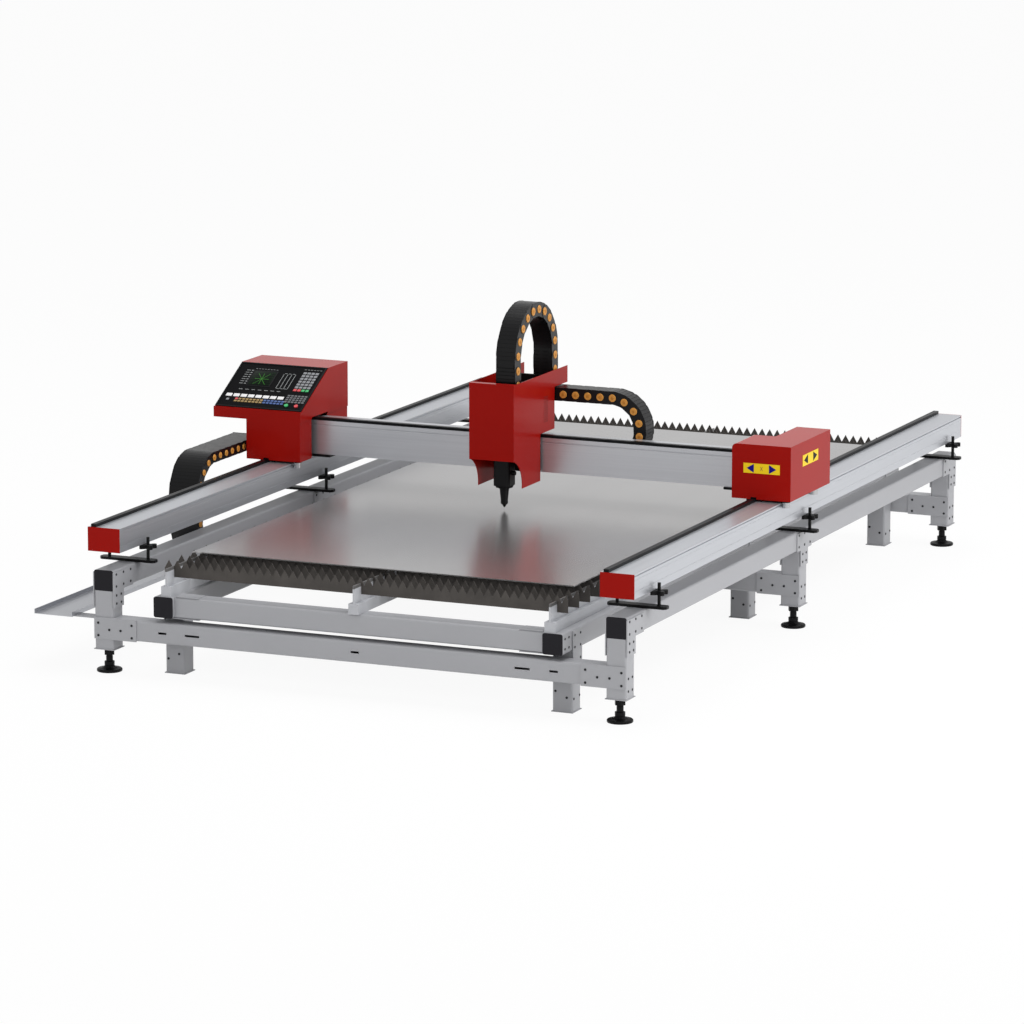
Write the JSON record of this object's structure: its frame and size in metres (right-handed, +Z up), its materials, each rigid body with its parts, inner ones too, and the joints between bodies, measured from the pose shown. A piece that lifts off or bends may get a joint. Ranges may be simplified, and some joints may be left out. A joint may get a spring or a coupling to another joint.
{
  "type": "fiber laser cutting machine",
  "caption": "Open-frame fiber laser cutting machine: slat table, rails, travelling gantry with console, cutting head and cable chains",
  "frame": {"origin": "on the floor below the middle of the overall box, 80.5 mm left of the middle between the rails and 6.75 mm in front of the middle of the frame", "axes": "+X across the rails to the right cover, +Y along the rails to the rear, +Z up"},
  "size_m": [2.385, 3.4986, 1.2036],
  "materials": {
    "frame_paint": "pale grey powder coat",
    "rail_aluminium": "fine anodised aluminium",
    "holder_aluminium": "pale grey powder coat",
    "black_steel": "black oxide",
    "black_plastic": "matte black",
    "red_paint": "glossy dark red powder coat",
    "slat_steel": "raw cut steel",
    "sheet_steel": "rolled steel sheet",
    "chain_plastic": "black nylon",
    "panel_plastic": "black panel",
    "green_plastic": "green button",
    "red_plastic": "red button",
    "head_black": "black anodised"
  },
  "bodies": {
    "machine": {"left_long_beam": "frame_paint", "right_long_beam": "frame_paint", "posts": "frame_paint", "cross_beams": "frame_paint", "tube_end_plugs": "black_plastic", "frame_plates": "frame_paint", "foot_lock_nuts": "black_steel", "clamp_plates": "black_steel", "clamp_studs": "black_steel", "left_rail": "rail_aluminium", "right_rail": "rail_aluminium", "rail_guide_strips": "black_steel", "rail_end_caps": "red_paint", "left_table_tube": "frame_paint", "right_table_tube": "frame_paint", "table_cross_tubes": "frame_paint", "table_legs": "frame_paint", "table_plates": "frame_paint", "slat_holders": "holder_aluminium", "slats": "slat_steel", "steel_sheet": "sheet_steel", "chain_tray": "rail_aluminium", "tray_arms": "frame_paint", "y_chain": "chain_plastic"},
    "front_left_foot": {"front_left_foot": "black_steel"},
    "front_right_foot": {"front_right_foot": "black_steel"},
    "middle_left_foot": {"middle_left_foot": "black_steel"},
    "middle_right_foot": {"middle_right_foot": "black_steel"},
    "rear_left_foot": {"rear_left_foot": "black_steel"},
    "rear_right_foot": {"rear_right_foot": "black_steel"},
    "front_left_knob": {"front_left_knob": "black_plastic"},
    "front_right_knob": {"front_right_knob": "black_plastic"},
    "middle_left_knob": {"middle_left_knob": "black_plastic"},
    "middle_right_knob": {"middle_right_knob": "black_plastic"},
    "rear_left_knob": {"rear_left_knob": "black_plastic"},
    "rear_right_knob": {"rear_right_knob": "black_plastic"},
    "gantry": {"gantry_beam": "rail_aluminium", "beam_guide_strip": "black_steel", "end_plates": "black_steel", "rail_guide_blocks": "black_steel", "console_body": "red_paint", "control_panel": "panel_plastic", "end_cover": "red_paint", "y_chain_bracket": "black_steel", "x_chain_tray": "rail_aluminium", "x_chain": "chain_plastic"},
    "green_button": {"green_button": "green_plastic"},
    "red_button": {"red_button": "red_plastic"},
    "front_left_roller": {"front_left_roller": "black_steel"},
    "front_right_roller": {"front_right_roller": "black_steel"},
    "rear_left_roller": {"rear_left_roller": "black_steel"},
    "rear_right_roller": {"rear_right_roller": "black_steel"},
    "carriage": {"head_saddle": "rail_aluminium", "beam_guide_blocks": "black_steel", "head_hood": "red_paint", "z_chain": "chain_plastic"},
    "head": {"head_slide": "black_steel", "cutting_head": "head_black", "nozzle": "head_black"}
  },
  "joints": [
    {"name": "gantry_slide", "type": "slide", "parent": "machine", "child": "gantry", "axis": [0, 1, 0], "range_m": [-0.78, 1.62], "deforming": ["y_chain"]},
    {"name": "carriage_slide", "type": "slide", "parent": "gantry", "child": "carriage", "axis": [1, 0, 0], "range_m": [-0.735, 0.765], "deforming": ["x_chain"]},
    {"name": "head_lift", "type": "slide", "parent": "carriage", "child": "head", "axis": [0, 0, 1], "range_m": [-0.008, 0.1], "deforming": ["z_chain"]},
    {"name": "front_left_roller_spin", "type": "hinge", "parent": "gantry", "child": "front_left_roller", "pos_m": [-0.8402, -0.28925, 0.524], "axis": [0, 0, 1], "range_deg": [-3000, 6250]},
    {"name": "front_right_roller_spin", "type": "hinge", "parent": "gantry", "child": "front_right_roller", "pos_m": [1.1598, -0.28925, 0.524], "axis": [0, 0, 1], "range_deg": [-3000, 6250]},
    {"name": "rear_left_roller_spin", "type": "hinge", "parent": "gantry", "child": "rear_left_roller", "pos_m": [-0.8402, 0.00075, 0.524], "axis": [0, 0, 1], "range_deg": [-3000, 6250]},
    {"name": "rear_right_roller_spin", "type": "hinge", "parent": "gantry", "child": "rear_right_roller", "pos_m": [1.1598, 0.00075, 0.524], "axis": [0, 0, 1], "range_deg": [-3000, 6250]},
    {"name": "green_button_press", "type": "slide", "parent": "gantry", "child": "green_button", "axis": [0, 0.4887, -0.8724], "range_m": [0, 0.003], "stiffness_N_per_m": 300},
    {"name": "red_button_press", "type": "slide", "parent": "gantry", "child": "red_button", "axis": [0, 0.4887, -0.8724], "range_m": [0, 0.003], "stiffness_N_per_m": 300},
    {"name": "front_left_foot_turn", "type": "hinge", "parent": "machine", "child": "front_left_foot", "pos_m": [-0.9195, -1.68925, 0.05], "axis": [0, 0, 1], "continuous": true},
    {"name": "front_right_foot_turn", "type": "hinge", "parent": "machine", "child": "front_right_foot", "pos_m": [1.0805, -1.68925, 0.05], "axis": [0, 0, 1], "continuous": true},
    {"name": "middle_left_foot_turn", "type": "hinge", "parent": "machine", "child": "middle_left_foot", "pos_m": [-0.9195, 0.00675, 0.05], "axis": [0, 0, 1], "continuous": true},
    {"name": "middle_right_foot_turn", "type": "hinge", "parent": "machine", "child": "middle_right_foot", "pos_m": [1.0805, 0.00675, 0.05], "axis": [0, 0, 1], "continuous": true},
    {"name": "rear_left_foot_turn", "type": "hinge", "parent": "machine", "child": "rear_left_foot", "pos_m": [-0.9195, 1.70275, 0.05], "axis": [0, 0, 1], "continuous": true},
    {"name": "rear_right_foot_turn", "type": "hinge", "parent": "machine", "child": "rear_right_foot", "pos_m": [1.0805, 1.70275, 0.05], "axis": [0, 0, 1], "continuous": true},
    {"name": "front_left_knob_turn", "type": "hinge", "parent": "machine", "child": "front_left_knob", "pos_m": [-0.8405, -1.52925, 0.4355], "axis": [0, 0, 1], "continuous": true},
    {"name": "front_right_knob_turn", "type": "hinge", "parent": "machine", "child": "front_right_knob", "pos_m": [1.1595, -1.52925, 0.4355], "axis": [0, 0, 1], "continuous": true},
    {"name": "middle_left_knob_turn", "type": "hinge", "parent": "machine", "child": "middle_left_knob", "pos_m": [-0.8405, -0.03925, 0.4355], "axis": [0, 0, 1], "continuous": true},
    {"name": "middle_right_knob_turn", "type": "hinge", "parent": "machine", "child": "middle_right_knob", "pos_m": [1.1595, -0.03925, 0.4355], "axis": [0, 0, 1], "continuous": true},
    {"name": "rear_left_knob_turn", "type": "hinge", "parent": "machine", "child": "rear_left_knob", "pos_m": [-0.8405, 1.59075, 0.4355], "axis": [0, 0, 1], "continuous": true},
    {"name": "rear_right_knob_turn", "type": "hinge", "parent": "machine", "child": "rear_right_knob", "pos_m": [1.1595, 1.59075, 0.4355], "axis": [0, 0, 1], "continuous": true}
  ],
  "couplings": [
    {"joint": "front_left_roller_spin", "follows": "gantry_slide", "rad_per_m": 66.667},
    {"joint": "front_right_roller_spin", "follows": "gantry_slide", "rad_per_m": 66.667},
    {"joint": "rear_left_roller_spin", "follows": "gantry_slide", "rad_per_m": 66.667},
    {"joint": "rear_right_roller_spin", "follows": "gantry_slide", "rad_per_m": 66.667}
  ]
}
